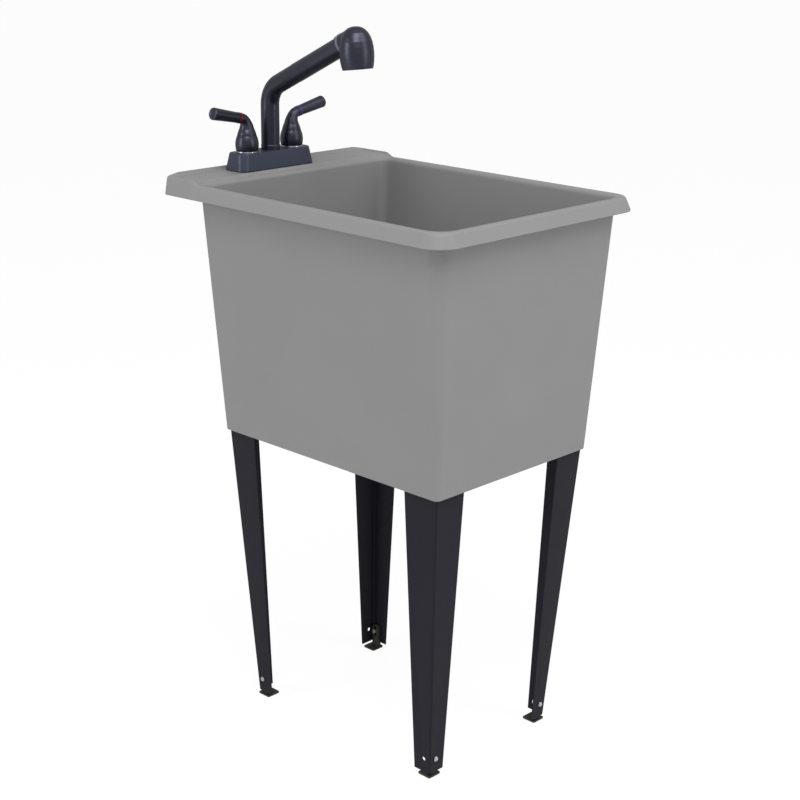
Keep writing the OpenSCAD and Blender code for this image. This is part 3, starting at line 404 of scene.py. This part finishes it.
SLOT_MATERIAL = {
    "tub": TUB_GREY, "steel": LEG_BLACK, "foot": FOOT_BLACK, "zinc": ZINC, "chrome": CHROME, "rubber": RUBBER,
    "nylon": NYLON, "black": FAUCET_BLACK, "brass": BRASS, "red": RED_BAND, "blue": BLUE_BAND,
    "grey_trim": GREY_TRIM_PAINTED_HIGHLIGHT}


def dress_cad_nodes():
    for part in frame["record"]["subparts"]:
        obj = frame["nodes"][part["node"]]
        obj.data.materials.clear()
        obj.data.materials.append(SLOT_MATERIAL[part["material_slot"]])


# Meshes
def piece(name, points, faces, body, slot, stands_for, sharp, look=None):
    """A visible piece on a body of the part, in place of the named CAD nodes."""
    data = bpy.data.meshes.new(name)
    data.from_pydata([tuple(c * MM for c in p) for p in points], [], faces)
    shape = bmesh.new()
    shape.from_mesh(data)
    bmesh.ops.remove_doubles(shape, verts=shape.verts, dist=WELD)
    bmesh.ops.dissolve_degenerate(shape, edges=shape.edges, dist=SLIVER)
    bmesh.ops.recalc_face_normals(shape, faces=shape.faces)
    shape.to_mesh(data)
    shape.free()
    obj = linked(name, data)
    data.materials.append(look or SLOT_MATERIAL[slot])
    data.shade_smooth()
    data.set_sharp_from_angle(angle=math.radians(sharp))
    normals = obj.modifiers.new("normals", "WEIGHTED_NORMAL")
    normals.keep_sharp = True
    normals.weight = NORMAL_WEIGHT
    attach(obj, body)
    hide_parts(*stands_for)


def loft_faces(rings, count, closed=False, first=0, caps=True):
    """Faces over a number of rings of count points each, the first point having the index first."""
    faces = []
    for k in range(rings if closed else rings - 1):
        here, there = first + k * count, first + ((k + 1) % rings) * count
        for j in range(count):
            after = (j + 1) % count
            faces.append((here + j, here + after, there + after, there + j))
    if caps and not closed:
        faces.append(tuple(first + j for j in reversed(range(count))))
        faces.append(tuple(first + (rings - 1) * count + j for j in range(count)))
    return faces


def all_points(rings):
    return [p for r in rings for p in r]


# Outlines of the tub
def level_share(z):
    return (z - BASE_Z) / (APRON_Z - BASE_Z)


def wall_at(z):
    t = level_share(z)
    return (lerp(BASE_X, WALL_X, t), lerp(BASE_F, WALL_F, t), lerp(BASE_B, WALL_B, t),
            lerp(BASE_R, WALL_FRONT_R, t), lerp(BASE_R, WALL_BACK_R, t))


def inset(line, d, back_share=1):
    """An outline moved in by d, and at its back by a share of d."""
    x, front, back, front_r, back_r = line
    least_r = BASE_R / 2
    return (x - d, front + d, back - d * back_share, max(front_r - d, least_r), max(back_r - d, least_r))


def basin_at(z):
    x, front, back, front_r, _ = inset(wall_at(z), WALL)
    return (x, front, back, max(front_r, BASE_R), lerp(BASE_R, BASIN_BACK_R, level_share(z)))


def between(first, second, t):
    return tuple(lerp(a, b, t) for a, b in zip(first, second))


def round_line(r, corner=1):
    return (r, DRAIN_Y - r, DRAIN_Y + r, r * corner, r * corner)


BACK_SHARES = [BACK_STEP * i for i in range(1, BACK_STEPS + 1)]
APRON_LINE = (RIM_W / 2, -RIM_D / 2, RIM_D / 2, APRON_FRONT_R, APRON_BACK_R)
CREST_LINE = (RIM_W / 2 - APRON_LEAN, APRON_LEAN - RIM_D / 2, RIM_D / 2 - BACK_LEAN,
              APRON_FRONT_R - APRON_LEAN, APRON_BACK_R - APRON_LEAN)
CREST_IN = inset(CREST_LINE, EDGE_R, BACK_EDGE_SHARE)
LIP_LINE = basin_at(LIP_Z)
LIP_CROWN = inset(LIP_LINE, -LIP_R)
PAD_LINE = round_line(PAD_R, PAD_CORNER)
RAMP_FRONT = WALL_B - RAMP_W * RAMP_AHEAD
LEDGE_END = RIM_D / 2 - BACK_LEAN - EDGE_R * BACK_EDGE_SHARE


def deck_line(t, back):
    """The outline a share of the way from the basin's lip to the crest, with its own back."""
    x, front, _, front_r, back_r = between(LIP_CROWN, CREST_IN, t)
    return (x, front, back, front_r, back_r)


def rise(y):
    """Share of the faucet deck's rise above the rim."""
    return smooth((y - RAMP_FRONT) / RAMP_W)


def ledge(x, y):
    """Share of the back ledge's height, which sinks to the side ledges' height near its two ends."""
    sunk = smooth((abs(x) - RIM_W / 2 + LEDGE_SINK_FROM) / LEDGE_SINK_W)
    behind = smooth((y - LEDGE_END + CURB_W) / CURB_W)
    return max(behind * lerp(1, SIDE_LEDGE_SHARE, sunk), SIDE_LEDGE_SHARE * rise(y))


def arc_run(cx, cy, r, start):
    angles = [math.radians(start + 90 * i / CORNER_STEPS) for i in range(CORNER_STEPS + 1)]
    return [(cx + r * math.cos(a), cy + r * math.sin(a)) for a in angles]


def side_y(line, i):
    """Place of a side's point: on the ramp, or squeezed up before the back corner where that comes first."""
    near, far = line[1] + line[3], line[2] - line[4]
    on_ramp = RAMP_FRONT + RAMP_W * (i - 1) / (RAMP_STEPS - 1)
    return min(on_ramp, far - (RAMP_STEPS + 1 - i) * (far - near) * RAMP_GAP)


def outline_points(line):
    """From the back right corner over the back, the left side and the front to the right side."""
    x, front, back, front_r, back_r = line
    shares = [1 - q for q in BACK_SHARES] + [q - 1 for q in reversed(BACK_SHARES)]
    across = [((x - back_r) * share, back) for share in shares]
    steps = range(1, RAMP_STEPS + 1)
    left = [(-x, side_y(line, i)) for i in reversed(steps)]
    right = [(x, side_y(line, i)) for i in steps]
    return (arc_run(x - back_r, back - back_r, back_r, 0) + across
            + arc_run(back_r - x, back - back_r, back_r, 90) + left
            + arc_run(front_r - x, front + front_r, front_r, 180)
            + arc_run(x - front_r, front + front_r, front_r, 270) + right)


def ring(line, z, lift=0, curb=0):
    """An outline's points at a level, raised by shares of the deck's rise and of the ledges' height."""
    return [(x, y, z + lift * DECK_RISE * rise(y) + curb * CURB_RISE * ledge(x, y))
            for x, y in outline_points(line)]


# The tub
def straight_rings(line_at, start, end):
    levels = [lerp(start, end, i / WALL_STEPS) for i in range(WALL_STEPS + 1)]
    return [ring(line_at(z), z) for z in levels]


def outer_rings():
    """From the base up the outside of the wall, out under the rim and down inside the apron."""
    under_wall = wall_at(UNDER_Z - UNDER_FILLET)
    base_wall = wall_at(BASE_Z + EASE)
    return [
        ring(inset(wall_at(BASE_Z), EASE), BASE_Z),
        ring(inset(base_wall, EASE / 4), BASE_Z + EASE / 4),
        ring(base_wall, BASE_Z + EASE),
        *straight_rings(wall_at, BASE_Z + WALL_END, UNDER_Z - WALL_END),
        ring(under_wall, UNDER_Z - UNDER_FILLET),
        ring(inset(under_wall, -UNDER_FILLET / 3), UNDER_Z - UNDER_FILLET / 3),
        ring(inset(under_wall, -UNDER_FILLET), UNDER_Z),
        ring(deck_line(HOLLOW_AT, WALL_B + LIP_RAMP_W + WALL), UNDER_Z, lift=1),
        ring(inset(CREST_LINE, WALL), UNDER_Z, lift=1),
        ring(inset(APRON_LINE, WALL), APRON_Z + EASE),
        ring(inset(APRON_LINE, WALL - EASE), APRON_Z)]


def rim_rings():
    """From the apron's lower edge up its outside, over the crest and the deck and round the basin's lip."""
    rings = [
        ring(inset(APRON_LINE, EASE), APRON_Z),
        ring(inset(APRON_LINE, EASE / 4), APRON_Z + EASE / 4),
        ring(APRON_LINE, APRON_Z + EASE)]
    for a in reversed(turns(EDGE_STEPS, EDGE_TURN)[1:]):
        line = inset(CREST_LINE, EDGE_R * (1 - math.sin(a)), BACK_EDGE_SHARE)
        rings.append(ring(line, RIM_TOP - EDGE_R * (1 - math.cos(a)), lift=1, curb=1))
    rings.append(ring(CREST_IN, RIM_TOP, lift=1, curb=1))
    for t in (i / DECK_STEPS for i in range(1, DECK_STEPS + 1)):
        line = deck_line(lerp(1, CURB_AT, t), CREST_IN[2] - CURB_W * t)
        rings.append(ring(line, RIM_TOP, lift=1, curb=1 - t))
    for t in (i / DECK_STEPS for i in range(DECK_STEPS + 1)):
        line = deck_line(lerp(LIP_RAMP_AT, 0, t), LIP_CROWN[2] + LIP_RAMP_W * (1 - t))
        rings.append(ring(line, RIM_TOP, lift=smooth(1 - t)))
    for a in reversed(turns(LIP_STEPS)[:-1]):
        rings.append(ring(inset(LIP_LINE, -LIP_R * (1 - math.cos(a))), LIP_Z + LIP_R * math.sin(a)))
    return rings


def basin_rings():
    """From the lip down the inside of the basin and over its floor to the pad round the drain."""
    rings = straight_rings(basin_at, LIP_Z - BASIN_END, FLOOR_Z + FLOOR_R + BASIN_END)
    for a in turns(FILLET_STEPS):
        z = FLOOR_Z + FLOOR_R * (1 - math.sin(a))
        rings.append(ring(inset(basin_at(z), FLOOR_R * (1 - math.cos(a))), z))
    floor_line = inset(basin_at(FLOOR_Z), FLOOR_R)
    for t in (i / FLOOR_STEPS for i in range(1, FLOOR_STEPS)):
        rings.append(ring(between(floor_line, PAD_LINE, t), lerp(FLOOR_Z, DRAIN_FLOOR_Z, t)))
    rings.append(ring(PAD_LINE, DRAIN_FLOOR_Z))
    return rings


def under_rings():
    """Through the drain's seat and hole, out under the basin and down the inside of the skirt."""
    seat_z = DRAIN_FLOOR_Z - SEAT_T
    boss_z = DRAIN_FLOOR_Z - BOSS_T
    skirt_wall = wall_at(SKIRT_TOP_Z)
    return [
        ring(round_line(SEAT_R + SEAT_CHAMFER_W), DRAIN_FLOOR_Z),
        ring(round_line(SEAT_R), DRAIN_FLOOR_Z - SEAT_CHAMFER_H),
        ring(round_line(SEAT_R), seat_z),
        ring(round_line(HOLE_R), seat_z),
        ring(round_line(HOLE_R), boss_z),
        ring(PAD_LINE, boss_z),
        ring(inset(skirt_wall, SKIRT_WALL + FLOOR_R), SKIRT_TOP_Z),
        ring(inset(skirt_wall, SKIRT_WALL), SKIRT_TOP_Z),
        ring(inset(wall_at(BASE_Z + EASE), SKIRT_WALL), BASE_Z + EASE),
        ring(inset(wall_at(BASE_Z), SKIRT_WALL - EASE), BASE_Z)]


def foot_place(back):
    return (FOOT_X, FOOT_BACK if back else FOOT_FRONT)


def leg_corner(back, z):
    """Place of a leg's corner at a level, from its foot up to where the skirt has room for its top."""
    foot = foot_place(back)
    leg_top = SKIRT_TOP_Z - SLIP
    room = [(o[0] - SKIRT_WALL - LEG_GAP, (o[2] if back else -o[1]) - SKIRT_WALL - LEG_GAP)
            for o in (wall_at(BASE_Z), wall_at(leg_top))]
    head = [min(room[0][i], foot[i] + (room[1][i] - foot[i]) * BASE_Z / leg_top) for i in (0, 1)]
    return [foot[i] + (head[i] - foot[i]) * z / BASE_Z for i in (0, 1)]


def angle_ring(side, back, t0, t1, z, lean=0):
    """Section of a rib that follows a leg's two flanges, from t0 to t1 inside the leg's outer faces."""
    corner = leg_corner(back, z)
    foot = foot_place(back)
    u1 = corner[0] - (foot[0] - FLANGE_W) - SHEET
    v1 = corner[1] - (foot[1] - FLANGE_D) - SHEET
    r0, r1 = max(BEND_R - t0, SHEET / 2), max(BEND_R - t1, SHEET / 4)
    bend = turns(BEND_STEPS)
    flat = [(u1, t0)]
    flat += [(t0 + r0 * (1 - math.sin(a)), t0 + r0 * (1 - math.cos(a))) for a in bend]
    flat += [(t0, v1), (t1, v1)]
    flat += [(t1 + r1 * (1 - math.sin(a)), t1 + r1 * (1 - math.cos(a))) for a in reversed(bend)]
    flat += [(u1, t1)]
    ahead = 1 if back else -1
    return [(side * (corner[0] - u), ahead * (corner[1] - v), z + lean * (u + v)) for u, v in flat]


def make_tub():
    rings = outer_rings() + rim_rings() + basin_rings() + under_rings()
    points = all_points(rings)
    faces = loft_faces(len(rings), len(rings[0]), closed=True)
    inner = SHEET + SLIP
    for side in (-1, 1):
        for back in (0, 1):
            low_ring = angle_ring(side, back, inner, inner + RIB_T, BASE_Z + RIB_FOOT, RIB_LEAN)
            high_ring = angle_ring(side, back, inner, inner + RIB_T, SKIRT_TOP_Z + RIB_LAP)
            first, n = len(points), len(low_ring)
            faces += loft_faces(2, n, first=first, caps=False)
            for k in (first, first + n):
                faces += [(k + j, k + j + 1, k + n - 2 - j, k + n - 1 - j) for j in range(n // 2 - 1)]
            points += low_ring + high_ring
    piece("tub_shell", points, faces, "sink", "tub", ("tub",), TUB_SHARP)


# The faucet's cover and handles
def cover_ring(d, z):
    """A section of the cover at a level, moved in by d from its drafted sides."""
    k = (z - DECK_Z) / COVER_H
    x = COVER_L / 2 - d - END_DRAFT * k
    y = COVER_D / 2 - d - COVER_DRAFT * k
    r = max(COVER_R - d, COVER_R / 4)
    points = []
    for q, (sx, sy) in enumerate(((1, 1), (-1, 1), (-1, -1), (1, -1))):
        for i in range(COVER_CORNER_STEPS + 1):
            a = math.radians(90 * q + 90 * i / COVER_CORNER_STEPS)
            across = FAUCET_X + sx * (x - r) + r * math.cos(a)
            ahead = FAUCET_Y + sy * (y - r) + r * math.sin(a)
            points.append((across, ahead, z))
    return points


def make_cover():
    low = DECK_Z + GASKET_T
    rings = [cover_ring(d, low + up) for d, up in COVER_FOOT]
    rings.append(cover_ring(0, COVER_Z - COVER_TOP_FROM))
    for a in turns(COVER_EDGE_STEPS):
        rings.append(cover_ring(COVER_EDGE_R * (1 - math.cos(a)), COVER_Z - COVER_EDGE_R * (1 - math.sin(a))))
    points = all_points(rings)
    faces = loft_faces(len(rings), len(rings[0]))
    # The cover takes the lighter copy of the black, with its painted reflection
    piece("faucet_base", points, faces, "sink", "black", ("faucet_cover",), FAUCET_SHARP, look=COVER_PAINTED_SHEEN_BLACK)


def curve_value(a, b, c, d, t):
    """A smooth curve from b to c, with a before them and d behind them."""
    bend = 2 * a - 5 * b + 4 * c - d
    twist = 3 * b - a - 3 * c + d
    return 0.5 * (2 * b + (c - a) * t + bend * t * t + twist * t ** 3)


def spline(table, steps):
    """Rows on a smooth curve through the rows of a table."""
    rows = [table[0]] + table + [table[-1]]
    out = []
    for i in range(1, len(rows) - 2):
        for s in range(steps):
            out.append([curve_value(*four, s / steps) for four in zip(*rows[i - 1:i + 3])])
    out.append(list(table[-1]))
    return out


def lever_at(along):
    return lerp(LEVER_R, LEVER_TIP_R, along / LEVER_L)


def turned_ring(x, z, turn, r):
    """A circle round the handle's run, which starts upright and turns towards the lever's tip."""
    angles = [2 * math.pi * j / AROUND for j in range(AROUND)]
    return [(x + r * math.cos(g) * math.cos(turn), r * math.sin(g), z - r * math.cos(g) * math.sin(turn))
            for g in angles]


def lever_ring(along, r):
    tilt = math.radians(LEVER_TILT)
    return turned_ring(NECK_REACH + along * math.cos(tilt), LEVER_H + along * math.sin(tilt), LEVER_TURN, r)


def handle_rings():
    """From the seam above the bell over the shoulder and the neck to the end of the grip."""
    seam = BELL_H + SLIP
    rings = [turned_ring(0, seam + up, 0, BELL_TOP_R - less) for up, less in SEAM_EDGE]
    for h, r in spline(SHOULDER, SHOULDER_STEPS):
        rings.append(turned_ring(0, lerp(seam, SHOULDER_TOP, h), 0, lerp(BELL_TOP_R, SHOULDER_R, r)))
    for x, z, turn, r in spline(NECK, NECK_STEPS)[1:]:
        level, angle = lerp(SHOULDER_TOP, LEVER_H, z), math.radians(turn * (90 - LEVER_TILT))
        rings.append(turned_ring(x * NECK_REACH, level, angle, lerp(LEVER_R, SHOULDER_R, r)))
    return rings + [lever_ring(along, lever_at(along) - less) for along, less in GRIP]


def cap_rings():
    """The grip's end cap: a domed rim round a shallow dish."""
    start = GRIP_END + SLIP / 2
    rings = [lever_ring(start + on, lever_at(start) - less) for on, less in CAP_START]
    rings += [lever_ring(LEVER_L - off, LEVER_TIP_R - less) for off, less in CAP_RIM]
    return rings + [lever_ring(LEVER_L - CAP_DISH, r) for r in DISH_RADII]


def at_handle(rings, side):
    """Points of the rings, moved from a handle's own axis to its place and mirrored on the hot side."""
    return [(FAUCET_X + side * HANDLE_IN + side * x, FAUCET_Y + y, COVER_Z + z)
            for x, y, z in all_points(rings)]


def make_handle_piece(rings, side, name, body, node):
    faces = loft_faces(len(rings), AROUND)
    piece(name, at_handle(rings, side), faces, body, "black", (node,), FAUCET_SHARP)


def make_handles():
    for side, word in ((-1, "hot"), (1, "cold")):
        body = word + "_valve"
        make_handle_piece(handle_rings(), side, word + "_grip", body, word + "_handle")
        make_handle_piece(cap_rings(), side, word + "_grip_end", body, word + "_lever_cap")


# The room, its light and the camera
def make_stage():
    data = bpy.data.meshes.new("floor")
    corners = [(x * FLOOR_REACH, y * FLOOR_REACH, 0) for x, y in ((-1, -1), (1, -1), (1, 1), (-1, 1))]
    data.from_pydata(corners, [], [(0, 1, 2, 3)])
    floor = linked("floor", data)
    white = (FLOOR_WHITE, FLOOR_WHITE, FLOOR_WHITE)
    mat, tree, shader = new_material("pale_floor", white, rough=0.9, specular=0.1)
    glow = tree.nodes.new("ShaderNodeEmission")
    glow.inputs["Color"].default_value = (1, 1, 1, 1)
    glow.inputs["Strength"].default_value = FLOOR_GLOW
    path = tree.nodes.new("ShaderNodeLightPath")
    share = tree.nodes.new("ShaderNodeMath")
    share.operation = "MULTIPLY"
    share.inputs[1].default_value = FLOOR_GLOW_SHARE
    tree.links.new(path.outputs["Is Camera Ray"], share.inputs[0])
    blend = tree.nodes.new("ShaderNodeMixShader")
    tree.links.new(share.outputs[0], blend.inputs["Fac"])
    tree.links.new(shader.outputs["BSDF"], blend.inputs[1])
    tree.links.new(glow.outputs["Emission"], blend.inputs[2])
    tree.links.new(blend.outputs["Shader"], tree.nodes["Material Output"].inputs["Surface"])
    data.materials.append(mat)


def make_world():
    world = bpy.data.worlds.new("studio")
    bpy.context.scene.world = world
    world.use_nodes = True
    tree = world.node_tree
    room = tree.nodes["Background"]
    backdrop = tree.nodes.new("ShaderNodeBackground")
    for node, strength in ((room, ROOM_LIGHT), (backdrop, BACKDROP_LIGHT)):
        node.inputs["Color"].default_value = (1, 1, 1, 1)
        node.inputs["Strength"].default_value = strength
    path = tree.nodes.new("ShaderNodeLightPath")
    blend = tree.nodes.new("ShaderNodeMixShader")
    tree.links.new(path.outputs["Is Camera Ray"], blend.inputs["Fac"])
    tree.links.new(room.outputs["Background"], blend.inputs[1])
    tree.links.new(backdrop.outputs["Background"], blend.inputs[2])
    tree.links.new(blend.outputs["Shader"], tree.nodes["World Output"].inputs["Surface"])


def make_lamp(name, place, target, width, height, power):
    data = bpy.data.lights.new(name, "AREA")
    data.shape = "RECTANGLE"
    data.size = width
    data.size_y = height
    data.energy = power
    lamp = linked(name, data)
    lamp.location = place
    lamp.rotation_mode = "QUATERNION"
    lamp.rotation_quaternion = (Vector(target) - Vector(place)).to_track_quat("-Z", "Y")


def make_camera():
    yaw, pitch, roll = (math.radians(a) for a in (CAMERA_YAW, CAMERA_PITCH, CAMERA_ROLL))
    back = Vector((math.sin(yaw) * math.cos(-pitch), -math.cos(yaw) * math.cos(-pitch), math.sin(-pitch)))
    right = (-back).cross(Vector((0, 0, 1))).normalized()
    up = right.cross(-back)
    c, s = math.cos(roll), math.sin(roll)
    right, up = c * right + s * up, -s * right + c * up
    data = bpy.data.cameras.new("camera")
    data.sensor_width = SENSOR_W
    data.lens = FOCAL_PIXELS / PICTURE_PIXELS * SENSOR_W
    data.clip_start = 0.05
    data.clip_end = 100
    camera = linked("camera", data)
    turn = Matrix((right, up, back)).transposed().to_4x4()
    camera.matrix_world = Matrix.Translation(Vector(CAMERA_PLACE)) @ turn
    bpy.context.scene.camera = camera


make_camera()
dress_cad_nodes()
make_tub()
make_cover()
make_handles()
make_stage()
make_world()
make_lamp("left_softbox", (-2.9, 1.2, 1.4), TUB_MIDDLE, width=1.0, height=1.8, power=20)
make_lamp("front_softbox", (0.9, -3.0, 1.4), TUB_MIDDLE, width=0.9, height=1.8, power=12)
make_lamp("high_softbox", (-1.3, -1.3, 3.4), BASIN_MIDDLE, width=1.8, height=1.8, power=48)
make_lamp("high_front", (0.6, -1.9, 3.2), BASIN_MIDDLE, width=1.8, height=1.8, power=22)
bpy.context.scene.view_settings.view_transform = "Standard"
